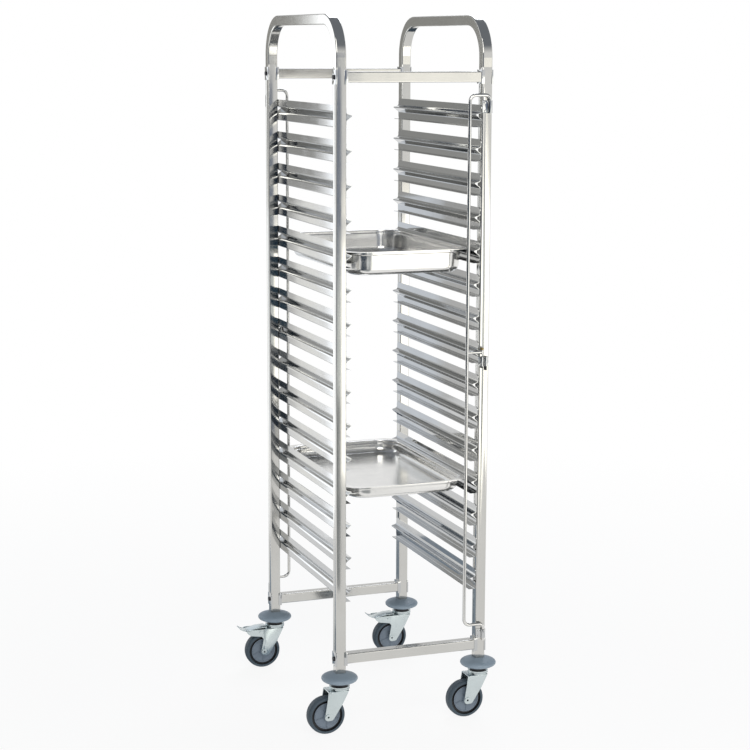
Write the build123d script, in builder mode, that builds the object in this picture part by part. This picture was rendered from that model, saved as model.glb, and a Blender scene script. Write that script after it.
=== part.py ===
"""Gastronorm tray trolley: a stainless racking trolley with fifteen pairs of tray runners, four swivel
casters under bumper discs, two swinging tray bars and two gastronorm pans.

Millimetres. X is the width and Y the depth, with the front of the trolley at -Y. Z is up from the floor,
and the origin is on the floor under the middle of the frame.
"""

from build123d import *
import os
from math import cos, hypot, radians, tan

os.makedirs("parts", exist_ok=True)

# Gastronorm 1/1 pans, which rest on the ledges by their rims. The frame is made to fit round them.
pan_length = 530.0
pan_width = 325.0
pan_side_gap = 7.5
pan_end_gap = 15.0
pan_rest_gap = 0.35
pan_rim_corner = 42.0
pan_rim_height = 1.6
pan_rim_hem = 1.2
pan_rim_flange = 13.5
pan_sheet = 0.8
pan_taper = 5.0
pan_wall_corner = 54.0
pan_floor_radius = 17.0
pan_mouth_radius = 4.0
pans = {"deep_pan": (5, 58.0), "shallow_pan": (12, 33.0)}

# Frame of square stainless tube, with an arch over each side frame
frame_height = 1722.0
arch_rise = 122.0
arch_bend = 100.0
tube = 25.0
tube_wall = 1.5
tube_corner = 2.5
spigot_length = 12.0
plug_clearance = 0.1
plug_corner = 1.5
press_clearance = 0.05

# Crossbars, set from the nearer end of the posts, and what joins them to the posts
crossbar_drop = 22.5
crossbar_rise = 35.0
bolt_radius = 3.0
bolt_clearance = 0.2
bolt_head_across_flats = 10.0
bolt_head_height = 3.5
bolt_tip_gap = 4.0
joint_height = 33.0
joint_lip_thickness = 1.2
shoe_base = 3.5
shoe_lip = 5.0
shoe_plug_length = 22.0
saddle_base = 1.5
saddle_lip = 2.0

# Tray runners, measured from each ledge's nose. Up is positive, and reach is from the post's inner face.
tiers = 15
top_tier_drop = 110.5
bottom_tier_rise = 205.5
runner_inset = 4.0
runner_sheet = 1.2
runner_above = 22.5
runner_below = 30.5
runner_corner = 9.0
ledge_reach = 17.0
ledge_slope = 15.0
ledge_drop = 12.0
ledge_nose = 1.8
ledge_root = 6.0
flange_reach = 14.5

# Swinging tray bars of round rod, one on the front right post and one on the rear left post. Their pins
# stand outwards of the posts' middles by the offset.
rod_radius = 4.0
hinge_clearance = 0.1
bar_arm = 51.5
pivot_offset = 5.5
bar_rise = 89.0
bar_drop = 65.0
bar_bend = 15.0
bar_pin_bend = 12.0
bar_pin_drop = 43.0
latch_height = 921.0
latch_reach = 7.0
latch_rod_radius = 3.6
latch_boss_height = 10.0
knob_radius = 4.0
knob_height = 8.0

# Clips on the posts that hold the bars' pins, each given by its foot and head below the bar's arm
clip_sheet = 1.5
clip_top_drops = (42.0, 12.5)
clip_bottom_drops = (36.0, 14.0)
clip_rivet_inset = 6.5
clip_rivet_margin = 5.0
rivet_radius = 1.6
rivet_head_radius = 2.8
rivet_head_height = 1.0
rivet_tail = 4.0
catch_drop = 35.0
catch_height = 23.0
catch_wings = (15.5, 11.5)
catch_lobes = (-7.0, 3.5)
catch_lobe_radius = 3.0
catch_pin_radius = 2.8
catch_pin_drops = (4.0, 10.0)

# Casters, each swivelling about its post's centre line with its wheel trailing to -X
wheel_radius = 46.5
wheel_width = 28.0
trail = 36.0
hub_radius = 32.5
hub_groove = 6.0
hub_groove_depth = 7.0
hub_boss_radius = 9.5
hub_boss_width = 38.0
axle_radius = 4.0
axle_bore_radius = 2.4
axle_clearance = 0.08
axle_head_radius = 7.0
axle_head_height = 1.6
fork_width = 44.0
fork_plate = 2.5
crown_gap = 16.0
race_radius = 25.0
race_gap = 0.5
race_height = 7.5
race_groove = 1.2
seal_radius = 20.0
seal_height = 7.0
bumper_radius = 44.5
bumper_collar = 17.0
bumper_height = 26.0
bumper_nose_rise = 12.0
stem_radius = 6.0
stem_clearance = 0.1
stem_plug_length = 25.0
stem_head_radius = 11.0
stem_head_height = 3.5
stem_head_gap = 0.4

# Brakes on the rear casters. The pedal's pin is set behind the axle and below the fork's crown.
brake_back = 9.0
brake_drop = 8.0
brake_pin_radius = 2.5
brake_head_radius = 4.0
pedal_sheet = 2.0
pedal_width = 34.0

# Worked out from the sizes above
frame_width = pan_width + 2 * (pan_side_gap + tube)
frame_depth = pan_length + 2 * pan_end_gap
half_width = frame_width / 2
half_depth = frame_depth / 2
post_x = half_width - tube / 2
post_y = half_depth - tube / 2
inner_face = half_width - tube
crown_top = 2 * wheel_radius + crown_gap
race_bottom = crown_top + race_gap
seal_bottom = race_bottom + race_height
bumper_bottom = seal_bottom + seal_height
bumper_nose = bumper_bottom + bumper_nose_rise
post_bottom = bumper_bottom + bumper_height
post_top = frame_height - arch_rise
crossbar_levels = {"top": post_top - crossbar_drop, "bottom": post_bottom + crossbar_rise}
top_tier = post_top - top_tier_drop
tier_pitch = (top_tier - post_bottom - bottom_tier_rise) / (tiers - 1)
runner_length = frame_depth - 2 * runner_inset
pan_lift = (ledge_reach - pan_side_gap) * tan(radians(ledge_slope)) + pan_rest_gap
bar_pivot_y = half_depth + rod_radius + hinge_clearance
bar_bottom = post_bottom + bar_rise
bar_top = post_top - bar_drop
catch_bottom = latch_height - catch_drop
clip_spans = [
    [arm - drop for drop in drops]
    for arm, drops in ((bar_top, clip_top_drops), (bar_bottom, clip_bottom_drops))
]
plug = tube - 2 * (tube_wall + plug_clearance)
bore = stem_radius + stem_clearance
corners = {
    "front_left": (-1, -1),
    "front_right": (1, -1),
    "rear_left": (-1, 1),
    "rear_right": (1, 1),
}
bar_corners = {"front_bar": (1, -1), "rear_bar": (-1, 1)}


def save(builder, name):
    """Labels a finished piece and writes it under the same name."""
    builder.part.label = name
    export_step(builder.part, f"parts/{name}.step")


def tier_level(tier):
    """The height of a tier's ledge nose. Tier 1 is the top one."""
    return top_tier - (tier - 1) * tier_pitch


def square_tube(at, outer, wall, corner):
    """Draws the section of a square tube in the sketch that is open."""
    with Locations(at):
        RectangleRounded(outer, outer, corner)
        inner = outer - 2 * wall
        RectangleRounded(inner, inner, max(corner - wall, 0.5), mode=Mode.SUBTRACT)


# Posts, with a cross hole for each crossbar bolt and holes for the rivets of the clips
def make_post(side, end):
    with BuildPart() as post:
        with BuildSketch(Plane.XY.offset(post_bottom)):
            square_tube((side * post_x, end * post_y), tube, tube_wall, tube_corner)
        extrude(amount=post_top - post_bottom)
        with BuildSketch(Plane.YZ.offset(side * post_x - tube)):
            with Locations([(end * post_y, level) for level in crossbar_levels.values()]):
                Circle(bolt_radius + bolt_clearance)
        extrude(amount=2 * tube, mode=Mode.SUBTRACT)
        if (side, end) in bar_corners.values():
            with BuildSketch(Plane.XZ.offset(-end * post_y)):
                with Locations(rivet_places(side)):
                    Circle(rivet_radius)
            extrude(amount=-end * tube, mode=Mode.SUBTRACT)
    return post


def rivet_places(side):
    """Where the rivets of one post's hinge clips lie, as points in X and Z."""
    return [
        (side * (post_x - clip_rivet_inset), level)
        for low, high in clip_spans
        for level in (low + clip_rivet_margin, high - clip_rivet_margin)
    ]


for corner_name, (side, end) in corners.items():
    save(make_post(side, end), f"post_{corner_name}")


# Handle arches, each one bent tube with a spigot at both ends that drops into the posts
def make_arch(side):
    bend = arch_bend - tube / 2
    crest = frame_height - tube / 2
    with BuildPart() as arch:
        with BuildLine(Plane.YZ.offset(side * post_x)):
            FilletPolyline(
                (-post_y, post_top), (-post_y, crest), (post_y, crest), (post_y, post_top), radius=bend
            )
        with BuildSketch(Plane.XY.offset(post_top)):
            square_tube((side * post_x, -post_y), tube, tube_wall, tube_corner)
        sweep()
        for end in (-1, 1):
            with BuildSketch(Plane.XY.offset(post_top - spigot_length)):
                square_tube((side * post_x, end * post_y), plug, tube_wall, plug_corner)
            extrude(amount=spigot_length + tube_wall)
            with BuildSketch(Plane.XY.offset(post_top)):
                square_tube((side * post_x, end * post_y), tube - tube_wall, 2 * tube_wall, plug_corner)
            extrude(amount=tube_wall)
    return arch


for side_name, side in (("left", -1), ("right", 1)):
    save(make_arch(side), f"handle_arch_{side_name}")


# Crossbars between the side frames
crossbar_half = inner_face - shoe_base
for end_name, end in (("front", -1), ("rear", 1)):
    for level_name, level in crossbar_levels.items():
        with BuildPart() as crossbar:
            with BuildSketch(Plane.YZ.offset(-crossbar_half)):
                square_tube((end * post_y, level), tube, tube_wall, tube_corner)
            extrude(amount=2 * crossbar_half)
        save(crossbar, f"crossbar_{end_name}_{level_name}")


# Shoes at the crossbars' ends: a plug in the tube, a plate against the post and two lips round it
with BuildPart() as shoes:
    for side, end in corners.values():
        for level in crossbar_levels.values():
            plate_x = side * (inner_face - shoe_base / 2)
            with Locations((plate_x, end * post_y, level)):
                Box(shoe_base, tube + 2 * joint_lip_thickness, joint_height)
            for lip_side in (-1, 1):
                lip_y = end * post_y + lip_side * (tube + joint_lip_thickness) / 2
                with Locations((side * (inner_face + shoe_lip / 2), lip_y, level)):
                    Box(shoe_lip, joint_lip_thickness, joint_height)
            with BuildSketch(Plane.YZ.offset(side * crossbar_half)):
                with Locations((end * post_y, level)):
                    RectangleRounded(plug, plug, plug_corner)
            extrude(amount=-side * shoe_plug_length)
    with BuildSketch(Plane.YZ.offset(-half_width)):
        with Locations([(end * post_y, level) for end in (-1, 1) for level in crossbar_levels.values()]):
            Circle(bolt_radius + press_clearance)
    extrude(amount=frame_width, mode=Mode.SUBTRACT)
save(shoes, "crossbar_shoes")


# Saddles under the bolt heads, on the posts' outer faces
with BuildPart() as saddles:
    for side, end in corners.values():
        for level in crossbar_levels.values():
            with Locations((side * (half_width + saddle_base / 2), end * post_y, level)):
                Box(saddle_base, tube + 2 * joint_lip_thickness, joint_height)
            for lip_side in (-1, 1):
                lip_y = end * post_y + lip_side * (tube + joint_lip_thickness) / 2
                with Locations((side * (half_width - saddle_lip / 2), lip_y, level)):
                    Box(saddle_lip, joint_lip_thickness, joint_height)
    with BuildSketch(Plane.YZ.offset(-frame_width)):
        with Locations([(end * post_y, level) for end in (-1, 1) for level in crossbar_levels.values()]):
            Circle(bolt_radius + bolt_clearance)
    extrude(amount=2 * frame_width, mode=Mode.SUBTRACT)
save(saddles, "crossbar_saddles")


# Hexagon bolts through saddle, post and shoe
with BuildPart() as bolts:
    head_seat = half_width + saddle_base
    shank = head_seat - crossbar_half + shoe_plug_length - bolt_tip_gap
    for side, end in corners.values():
        for level in crossbar_levels.values():
            with BuildSketch(Plane.YZ.offset(side * head_seat)):
                with Locations((end * post_y, level)):
                    RegularPolygon(bolt_head_across_flats / 2, 6, major_radius=False)
            extrude(amount=side * bolt_head_height)
            with BuildSketch(Plane.YZ.offset(side * head_seat)):
                with Locations((end * post_y, level)):
                    Circle(bolt_radius)
            extrude(amount=-side * shank)
save(bolts, "crossbar_bolts")


# Runners of folded sheet: a web on the posts, a ledge folded out of it and a flange along its foot
def runner_profile(side, level):
    """Draws a runner's section in X and Z, for the left rack (-1) or the right one (1)."""
    rise = tan(radians(ledge_slope))
    drop = ledge_drop / (ledge_reach - runner_sheet)
    sheet_up = runner_sheet * hypot(1, rise)
    sheet_down = runner_sheet * hypot(1, drop)
    throat = (sheet_up + sheet_down) / (rise + drop)
    outline = [
        (0, runner_above),
        (runner_sheet, runner_above),
        (runner_sheet, (ledge_reach - runner_sheet) * rise),
        (ledge_reach, 0),
        (runner_sheet, -ledge_drop),
        (runner_sheet, runner_sheet - runner_below),
        (flange_reach, runner_sheet - runner_below),
        (flange_reach, -runner_below),
        (0, -runner_below),
        (0, sheet_down - ledge_reach * drop),
        (ledge_reach - throat, throat * rise - sheet_up),
        (0, ledge_reach * rise - sheet_up),
    ]
    with BuildLine() as edge:
        Polyline(*[(-side * (reach - inner_face), level + z) for reach, z in outline], close=True)
    make_face(edge.edges())
    radii = {2: ledge_root, 3: ledge_nose, 4: ledge_root, 5: 1.5, 8: 2.7, 9: 6.5, 11: 6.5}
    for index, radius in radii.items():
        reach, z = outline[index]
        place = Vector(-side * (reach - inner_face), level + z)
        fillet(vertices().sort_by_distance(place)[0], radius)


for tier in range(1, tiers + 1):
    level = tier_level(tier)
    with BuildPart() as runners:
        for side in (-1, 1):
            with BuildSketch(Plane.XZ.offset(-runner_length / 2)):
                runner_profile(side, level)
            extrude(amount=runner_length)
        with BuildSketch(Plane.YZ.offset(-half_width)):
            with Locations((0, level + (runner_above - runner_below) / 2)):
                RectangleRounded(runner_length, runner_above + runner_below, runner_corner)
        extrude(amount=frame_width, mode=Mode.INTERSECT)
    save(runners, f"runners_tier_{tier:02d}")


# Gastronorm pans: a drawn tub with tapered walls, and a flat rim with a turned hem
def make_pan(tier, depth):
    rim_top = tier_level(tier) + pan_lift + pan_rim_height
    mouth_length = pan_length - 2 * pan_rim_flange
    mouth_width = pan_width - 2 * pan_rim_flange
    with BuildPart() as cavity:
        with BuildSketch(Plane.XY.offset(rim_top)):
            RectangleRounded(mouth_width, mouth_length, pan_wall_corner)
        extrude(amount=-(depth - pan_sheet), taper=pan_taper)
        fillet(cavity.edges().group_by(Axis.Z)[0], pan_floor_radius - pan_sheet)
    with BuildPart() as pan:
        wall = pan_sheet / cos(radians(pan_taper))
        with BuildSketch(Plane.XY.offset(rim_top)):
            RectangleRounded(mouth_width + 2 * wall, mouth_length + 2 * wall, pan_wall_corner + wall)
        extrude(amount=-depth, taper=pan_taper)
        fillet(pan.edges().group_by(Axis.Z)[0], pan_floor_radius)
        with BuildSketch(Plane.XY.offset(rim_top)):
            RectangleRounded(pan_width, pan_length, pan_rim_corner)
        extrude(amount=-pan_sheet)
        with BuildSketch(Plane.XY.offset(rim_top)):
            RectangleRounded(pan_width, pan_length, pan_rim_corner)
            RectangleRounded(
                pan_width - 2 * pan_rim_hem,
                pan_length - 2 * pan_rim_hem,
                pan_rim_corner - pan_rim_hem,
                mode=Mode.SUBTRACT,
            )
        extrude(amount=-pan_rim_height)
        add(cavity.part, mode=Mode.SUBTRACT)
        for depth_down in (pan_sheet, 0):
            flats = pan.faces().filter_by(Plane.XY)
            rim = flats.sort_by(lambda face: abs(face.center().Z - rim_top + depth_down))[0]
            fillet(rim.inner_wires()[0].edges(), pan_mouth_radius - depth_down)
    return pan


for pan_name, (tier, depth) in pans.items():
    save(make_pan(tier, depth), pan_name)


# Tray bars: one rod with an arm at each end, a pin turned down at each arm's end, and a latch arm midway
def make_bar(side, end):
    y = end * bar_pivot_y
    pivot_x = side * (post_x + pivot_offset)
    run_x = pivot_x - side * bar_arm
    with BuildPart() as bar:
        with BuildLine():
            FilletPolyline(
                (pivot_x, y, bar_bottom - bar_pin_drop),
                (pivot_x, y, bar_bottom),
                (run_x, y, bar_bottom),
                (run_x, y, bar_top),
                (pivot_x, y, bar_top),
                (pivot_x, y, bar_top - bar_pin_drop),
                radius=[bar_pin_bend, bar_bend, bar_bend, bar_pin_bend],
            )
        with BuildSketch(Plane.XY.offset(bar_bottom - bar_pin_drop)):
            with Locations((pivot_x, y)):
                Circle(rod_radius)
        sweep()
        boss_x = side * (post_x - latch_reach)
        with BuildSketch(Plane.YZ.offset(run_x)):
            with Locations((y, latch_height)):
                Circle(latch_rod_radius)
        extrude(amount=boss_x - run_x)
        with BuildSketch(Plane.XY.offset(latch_height - latch_boss_height / 2)):
            with Locations((boss_x, y)):
                Circle(rod_radius)
        extrude(amount=latch_boss_height)
    return bar


def make_knob(side, end):
    knob_base = latch_height + latch_boss_height / 2
    with BuildPart() as knob:
        with BuildSketch(Plane.XY.offset(knob_base)):
            with Locations((side * (post_x - latch_reach), end * bar_pivot_y)):
                Circle(knob_radius)
        extrude(amount=knob_height)
        fillet(knob.edges().group_by(Axis.Z)[-1], knob_radius * 0.7)
        chamfer(knob.edges().group_by(Axis.Z)[0], 1.0)
    return knob


for bar_name, (side, end) in bar_corners.items():
    save(make_bar(side, end), bar_name)
    save(make_knob(side, end), f"{bar_name}_knob")


def clip_section(side, end, wings, lobes, radius):
    """Draws a clip's plan in X and Y: two wings on the post's face and a round channel at each lobe."""
    face = end * half_depth
    inwards, outwards = wings
    with Locations((side * (post_x + (outwards - inwards) / 2), face + end * clip_sheet / 2)):
        Rectangle(inwards + outwards, clip_sheet)
    for mode, size in ((Mode.ADD, radius + clip_sheet), (Mode.SUBTRACT, radius)):
        for lobe in lobes:
            with Locations((side * (post_x + lobe), face + end * radius / 2)):
                Rectangle(2 * size, radius, mode=mode)
            with Locations((side * (post_x + lobe), face + end * radius)):
                Circle(size, mode=mode)
    with Locations((side * post_x, face - end * tube / 2)):
        Rectangle(2 * tube, tube, mode=Mode.SUBTRACT)


# Hinge clips, one near each end of both bars
with BuildPart() as clips:
    for side, end in bar_corners.values():
        for low, high in clip_spans:
            with BuildSketch(Plane.XY.offset(low)):
                clip_section(side, end, (tube / 2, tube / 2), (pivot_offset,), rod_radius + hinge_clearance)
            extrude(amount=high - low)
        with BuildSketch(Plane.XZ.offset(-end * (half_depth - tube))):
            with Locations(rivet_places(side)):
                Circle(rivet_radius)
        extrude(amount=-end * 2 * tube, mode=Mode.SUBTRACT)
save(clips, "bar_hinge_clips")


# Latch catches, welded on halfway up behind each bar's knob
with BuildPart() as catches:
    for side, end in bar_corners.values():
        with BuildSketch(Plane.XY.offset(catch_bottom)):
            clip_section(side, end, catch_wings, catch_lobes, catch_lobe_radius)
        extrude(amount=catch_height)
save(catches, "latch_catches")


# Pins in the catches' lobes, with their tips showing below
with BuildPart() as catch_pins:
    for side, end in bar_corners.values():
        for lobe, drop in zip(catch_lobes, catch_pin_drops):
            with BuildSketch(Plane.XY.offset(catch_bottom + catch_height)):
                with Locations((side * (post_x + lobe), end * (half_depth + catch_lobe_radius))):
                    Circle(catch_pin_radius)
            extrude(amount=-(catch_height + drop))
save(catch_pins, "latch_catch_pins")


# Rivets that hold the hinge clips to the posts
with BuildPart() as rivets:
    for side, end in bar_corners.values():
        seat = half_depth + clip_sheet
        with BuildSketch(Plane.XZ.offset(-end * seat)):
            with Locations(rivet_places(side)):
                Circle(rivet_head_radius)
        extrude(amount=-end * rivet_head_height)
        with BuildSketch(Plane.XZ.offset(-end * seat)):
            with Locations(rivet_places(side)):
                Circle(rivet_radius)
        extrude(amount=end * (clip_sheet + rivet_tail))
save(rivets, "clip_rivets")


# Bumper discs, clamped between the posts and the casters
with BuildPart() as bumpers:
    for side, end in corners.values():
        with BuildSketch(Plane.XZ.offset(-end * post_y)):
            with BuildLine():
                axis_x = side * post_x
                outline = [
                    (bore, post_bottom),
                    (bumper_collar, post_bottom),
                    (bumper_radius - 7.5, bumper_nose + 8.0),
                    (bumper_radius, bumper_nose + 1.5),
                    (bumper_radius, bumper_nose - 1.5),
                    (bumper_radius - 3.0, bumper_nose - 6.0),
                    (seal_radius + 5.0, bumper_bottom),
                    (bore, bumper_bottom),
                ]
                Polyline(*[(axis_x + r, z) for r, z in outline], close=True)
            make_face()
            for index, radius in ((2, 12.0), (3, 3.0), (4, 3.0), (5, 6.0)):
                r, z = outline[index]
                fillet(vertices().sort_by_distance(Vector(axis_x + r, z))[0], radius)
        revolve(axis=Axis((side * post_x, end * post_y, 0), (0, 0, 1)))
save(bumpers, "bumper_discs")


def rings(name, outer, low, high, groove=0.0):
    """Makes one ring round each caster stem, with a groove round its middle where one is given."""
    with BuildPart() as ring:
        for side, end in corners.values():
            with BuildSketch(Plane.XY.offset(low)):
                with Locations((side * post_x, end * post_y)):
                    Circle(outer)
                    Circle(bore, mode=Mode.SUBTRACT)
            extrude(amount=high - low)
        if groove:
            with BuildSketch(Plane.XY.offset((low + high - groove) / 2)):
                with Locations([(side * post_x, end * post_y) for side, end in corners.values()]):
                    Circle(outer)
                    Circle(outer - groove, mode=Mode.SUBTRACT)
            extrude(amount=groove, mode=Mode.SUBTRACT)
    save(ring, name)


rings("caster_seals", seal_radius, seal_bottom, bumper_bottom)
rings("caster_races", race_radius, race_bottom, seal_bottom, groove=race_groove)


# Caster stems: a plug in the foot of each post, and a king pin with a head under the fork's crown
with BuildPart() as stems:
    head_top = crown_top - fork_plate - stem_head_gap
    for side, end in corners.values():
        with BuildSketch(Plane.XY.offset(post_bottom)):
            with Locations((side * post_x, end * post_y)):
                RectangleRounded(plug, plug, plug_corner)
        extrude(amount=stem_plug_length)
        with BuildSketch(Plane.XY.offset(head_top - stem_head_height)):
            with Locations((side * post_x, end * post_y)):
                Circle(stem_radius)
        extrude(amount=post_bottom - head_top + stem_head_height)
        with BuildSketch(Plane.XY.offset(head_top - stem_head_height)):
            with Locations((side * post_x, end * post_y)):
                Circle(stem_head_radius)
        extrude(amount=stem_head_height)
save(stems, "caster_stems")


# Forks: a folded channel with a crown and two legs. The braked ones carry a cheek over the wheel.
crown_front = 18.0
crown_rear = 2.0 - trail
leg_foot = [(1, crown_top - 33), (12 - trail, wheel_radius - 9.5), (-10 - trail, wheel_radius - 10.5)]
leg_outline = [(crown_rear, crown_top), (crown_front, crown_top), *leg_foot]
cheek_outline = [
    (crown_front, crown_top),
    *leg_foot,
    (-1.5 - trail, crown_top - 27),
    (-7 - trail, crown_top - 20.5),
    (-36 - trail, crown_top - 16),
    (-45 - trail, crown_top - 10),
    (-49 - trail, crown_top - 3),
    (-44 - trail, crown_top - 0.5),
    (crown_rear, crown_top - 0.5),
    (crown_rear, crown_top),
]


def make_fork(side, end, braked):
    x0 = side * post_x
    y0 = end * post_y
    outline = cheek_outline if braked else leg_outline
    softened = {2: 8.0, 3: 9.0, 4: 5.0, 5: 4.0, 8: 2.0} if braked else {3: 8.0, 4: 9.0}
    with BuildPart() as fork:
        with BuildSketch(Plane.XZ.offset(-(y0 + fork_width / 2))):
            with BuildLine():
                Polyline(*[(x0 + x, z) for x, z in outline], close=True)
            make_face()
            for index, radius in softened.items():
                x, z = outline[index]
                fillet(vertices().sort_by_distance(Vector(x0 + x, z))[0], radius)
        extrude(amount=fork_width)
        inner_width = fork_width - 2 * fork_plate
        with Locations((x0 - trail, y0, (crown_top - fork_plate) / 2)):
            Box(4 * wheel_radius, inner_width, crown_top - fork_plate, mode=Mode.SUBTRACT)
        if braked:
            with Locations((x0 + crown_rear - wheel_radius, y0, crown_top)):
                Box(2 * wheel_radius, inner_width, 3 * fork_plate, mode=Mode.SUBTRACT)
        with BuildSketch(Plane.XY.offset(crown_top - 2 * fork_plate)):
            with Locations((x0, y0)):
                Circle(bore)
        extrude(amount=3 * fork_plate, mode=Mode.SUBTRACT)
        with BuildSketch(Plane.XZ.offset(-(y0 + fork_width))):
            with Locations((x0 - trail, wheel_radius)):
                Circle(axle_radius + press_clearance)
            if braked:
                with Locations((x0 - trail - brake_back, crown_top - brake_drop)):
                    Circle(brake_pin_radius + press_clearance)
        extrude(amount=2 * fork_width, mode=Mode.SUBTRACT)
    return fork


# Axles are hollow rivets across the forks, and the braked forks have a second, thinner one for the pedal
def make_pins(side, end, braked):
    reach = fork_width / 2
    axle_x = side * post_x - trail
    pins_at = [(axle_x, wheel_radius, axle_radius, axle_head_radius)]
    if braked:
        pins_at.append((axle_x - brake_back, crown_top - brake_drop, brake_pin_radius, brake_head_radius))
    with BuildPart() as pins:
        for x, z, radius, head_radius in pins_at:
            with BuildSketch(Plane.XZ.offset(-(end * post_y - reach))):
                with Locations((x, z)):
                    Circle(radius)
            extrude(amount=-2 * reach)
            for head in (-1, 1):
                with BuildSketch(Plane.XZ.offset(-(end * post_y + head * reach))):
                    with Locations((x, z)):
                        Circle(head_radius)
                extrude(amount=-head * axle_head_height)
        with BuildSketch(Plane.XZ.offset(-(end * post_y - fork_width))):
            with Locations((axle_x, wheel_radius)):
                Circle(axle_bore_radius)
        extrude(amount=-2 * fork_width, mode=Mode.SUBTRACT)
    return pins


# Wheels: a dished plastic hub with a boss, and a tyre with a groove where it meets the hub
def make_hub(x, y):
    with BuildPart() as hub:
        with BuildSketch(Plane.XZ.offset(-(y + wheel_width / 2 - 2))):
            with Locations((x, wheel_radius)):
                Circle(hub_radius)
        extrude(amount=wheel_width - 4)
        with BuildSketch(Plane.XZ.offset(-(y + hub_boss_width / 2))):
            with Locations((x, wheel_radius)):
                Circle(hub_boss_radius)
        extrude(amount=hub_boss_width)
        for face in (-1, 1):
            with BuildSketch(Plane.XZ.offset(-(y + face * (wheel_width / 2 - 2)))):
                with Locations((x, wheel_radius)):
                    Circle(hub_radius - 3)
                    Circle(hub_boss_radius + 2, mode=Mode.SUBTRACT)
            extrude(amount=face * 1.0, mode=Mode.SUBTRACT)
        with BuildSketch(Plane.XZ.offset(-(y + fork_width))):
            with Locations((x, wheel_radius)):
                Circle(axle_radius + axle_clearance)
        extrude(amount=2 * fork_width, mode=Mode.SUBTRACT)
    return hub


def make_tyre(x, y):
    half = wheel_width / 2
    with BuildPart() as tyre:
        with BuildSketch(Plane.XY.offset(wheel_radius)):
            with BuildLine():
                outline = [
                    (hub_radius + press_clearance, -half + hub_groove_depth),
                    (hub_radius + hub_groove, -half + hub_groove_depth),
                    (hub_radius + hub_groove, -half),
                    (wheel_radius - 3, -half),
                    (wheel_radius, -half + 4),
                    (wheel_radius, half - 4),
                    (wheel_radius - 3, half),
                    (hub_radius + hub_groove, half),
                    (hub_radius + hub_groove, half - hub_groove_depth),
                    (hub_radius + press_clearance, half - hub_groove_depth),
                ]
                Polyline(*[(x + r, y + w) for r, w in outline], close=True)
            make_face()
            for index, radius in ((3, 2.5), (4, 4.0), (5, 4.0), (6, 2.5)):
                r, w = outline[index]
                fillet(vertices().sort_by_distance(Vector(x + r, y + w))[0], radius)
        revolve(axis=Axis((x, y, wheel_radius), (0, 1, 0)))
    return tyre


# Brake pedals: a bent plate on the pin between the cheeks, with a shoe that comes down on the tyre
pedal_path = [(8.5, 2.5), (-16, 1.5), (-32, -2.5), (-48, -4), (-57, -1.5), (-65, 3.5)]
shoe_outline = [(6, 11), (6, -4), (-8, -9), (-20, -9), (-20, 6)]


def make_pedal(side, end):
    axle_x = side * post_x - trail
    pin_x = axle_x - brake_back
    pin_z = crown_top - brake_drop
    y0 = end * post_y
    upper = [(axle_x + x, crown_top + z + pedal_sheet) for x, z in pedal_path]
    lower = [(axle_x + x, crown_top + z) for x, z in reversed(pedal_path)]
    with BuildPart() as pedal:
        with BuildSketch(Plane.XZ.offset(-(y0 + pedal_width / 2))):
            with BuildLine():
                Polyline(*upper, *lower, close=True)
            make_face()
        extrude(amount=pedal_width)
        shoe_width = pedal_width - 12
        with BuildSketch(Plane.XZ.offset(-(y0 + shoe_width / 2))):
            with BuildLine():
                Polyline(*[(pin_x + x, pin_z + z) for x, z in shoe_outline], close=True)
            make_face()
        extrude(amount=shoe_width)
        with BuildSketch(Plane.XZ.offset(-(y0 + fork_width))):
            with Locations((pin_x, pin_z)):
                Circle(brake_pin_radius + axle_clearance)
        extrude(amount=2 * fork_width, mode=Mode.SUBTRACT)
    return pedal


for corner_name, (side, end) in corners.items():
    braked = end > 0
    axle_x = side * post_x - trail
    save(make_fork(side, end, braked), f"caster_fork_{corner_name}")
    save(make_pins(side, end, braked), f"caster_pins_{corner_name}")
    save(make_hub(axle_x, end * post_y), f"wheel_hub_{corner_name}")
    save(make_tyre(axle_x, end * post_y), f"wheel_tyre_{corner_name}")
    if braked:
        save(make_pedal(side, end), f"brake_pedal_{corner_name}")
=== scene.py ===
"""Looks of the gastronorm tray trolley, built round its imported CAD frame.

Everything is in metres, in the CAD's own axes: the front of the trolley is at -Y and the floor is at zero.
"""

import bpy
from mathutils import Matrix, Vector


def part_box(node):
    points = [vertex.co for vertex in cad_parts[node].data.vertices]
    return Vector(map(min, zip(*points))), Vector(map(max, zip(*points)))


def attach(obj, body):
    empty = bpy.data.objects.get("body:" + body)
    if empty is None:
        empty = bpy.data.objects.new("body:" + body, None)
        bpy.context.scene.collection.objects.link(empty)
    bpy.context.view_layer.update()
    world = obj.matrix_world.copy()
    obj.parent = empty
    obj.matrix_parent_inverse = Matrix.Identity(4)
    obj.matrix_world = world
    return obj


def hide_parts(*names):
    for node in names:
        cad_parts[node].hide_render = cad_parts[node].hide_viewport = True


bl_info = {
    "name": "Gastronorm tray trolley",
    "version": (1, 0, 0),
    "blender": (4, 5, 0),
    "location": "3D View > Sidebar > Trolley",
    "description": "Gives the tray trolley's CAD frame its finishes and its detailed pieces",
    "category": "Object",
}

from math import cos, pi, radians, sin, tan

import bmesh
import bpy
from mathutils import Matrix, Vector

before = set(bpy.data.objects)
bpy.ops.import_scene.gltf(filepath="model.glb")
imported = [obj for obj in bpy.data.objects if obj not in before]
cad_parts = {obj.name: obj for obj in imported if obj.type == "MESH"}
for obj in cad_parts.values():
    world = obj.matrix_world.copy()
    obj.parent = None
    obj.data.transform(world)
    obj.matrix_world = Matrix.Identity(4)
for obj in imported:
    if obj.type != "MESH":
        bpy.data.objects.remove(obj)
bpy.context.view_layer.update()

CORNERS = ("front_left", "front_right", "rear_left", "rear_right")
TIERS = range(1, 16)
Y = Vector((0, 1, 0))
Z = Vector((0, 0, 1))
MM = 0.001
# An edge that bends by more than this is a sharp one
SHARP = radians(35.0)


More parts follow.
